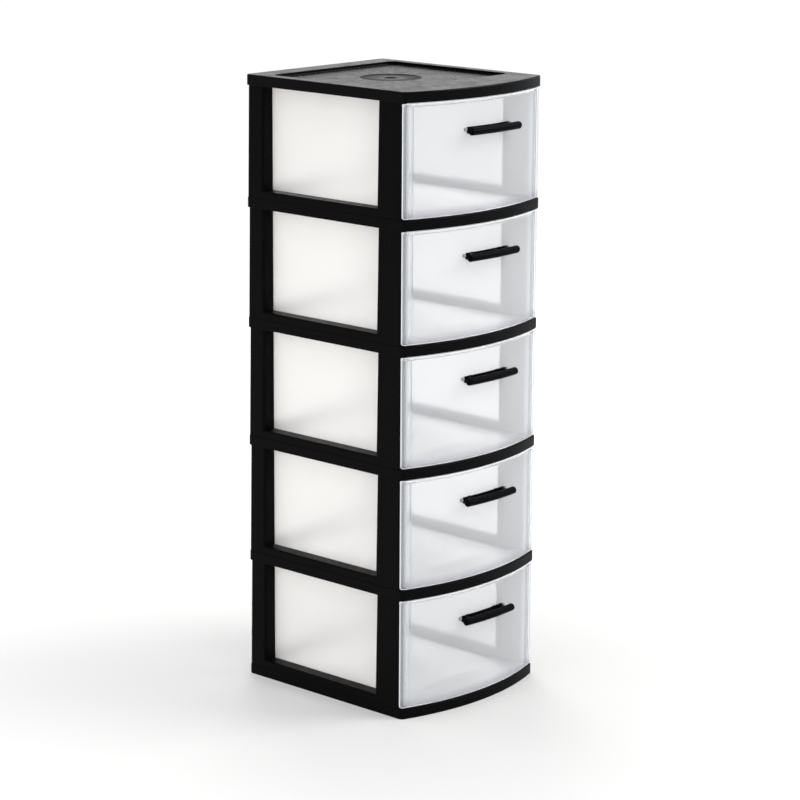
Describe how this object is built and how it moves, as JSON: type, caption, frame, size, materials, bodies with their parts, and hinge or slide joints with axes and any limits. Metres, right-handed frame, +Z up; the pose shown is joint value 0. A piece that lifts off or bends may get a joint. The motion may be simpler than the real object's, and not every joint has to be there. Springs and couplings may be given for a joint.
{
  "type": "drawer tower",
  "caption": "Tall tower of stacked black plastic frames under a lid with a sunk tray, each holding a translucent, bow-fronted drawer with a black bar handle.",
  "frame": {"origin": "on the floor, under the middle of the width and of the depth measured from the back to the front of the handles", "axes": "+Z up, the drawers open towards -Y, and +X is to the right as seen from in front"},
  "size_m": [0.32, 0.392, 0.99],
  "materials": {
    "black_plastic": "satin black moulded polypropylene",
    "clear_plastic": "translucent frosted polypropylene",
    "handle_plastic": "semi-gloss black moulded plastic"
  },
  "bodies": {
    "cabinet": {"lid": "black_plastic", "frame_1": "black_plastic", "frame_2": "black_plastic", "frame_3": "black_plastic", "frame_4": "black_plastic", "frame_5": "black_plastic"},
    "drawer_body_1": {"drawer_1": "clear_plastic", "handle_1": "handle_plastic"},
    "drawer_body_2": {"drawer_2": "clear_plastic", "handle_2": "handle_plastic"},
    "drawer_body_3": {"drawer_3": "clear_plastic", "handle_3": "handle_plastic"},
    "drawer_body_4": {"drawer_4": "clear_plastic", "handle_4": "handle_plastic"},
    "drawer_body_5": {"drawer_5": "clear_plastic", "handle_5": "handle_plastic"}
  },
  "joints": [
    {"name": "drawer_1_slide", "type": "slide", "parent": "cabinet", "child": "drawer_body_1", "axis": [0, -1, 0], "range_m": [0, 0.268]},
    {"name": "drawer_2_slide", "type": "slide", "parent": "cabinet", "child": "drawer_body_2", "axis": [0, -1, 0], "range_m": [0, 0.268]},
    {"name": "drawer_3_slide", "type": "slide", "parent": "cabinet", "child": "drawer_body_3", "axis": [0, -1, 0], "range_m": [0, 0.268]},
    {"name": "drawer_4_slide", "type": "slide", "parent": "cabinet", "child": "drawer_body_4", "axis": [0, -1, 0], "range_m": [0, 0.268]},
    {"name": "drawer_5_slide", "type": "slide", "parent": "cabinet", "child": "drawer_body_5", "axis": [0, -1, 0], "range_m": [0, 0.268]}
  ]
}
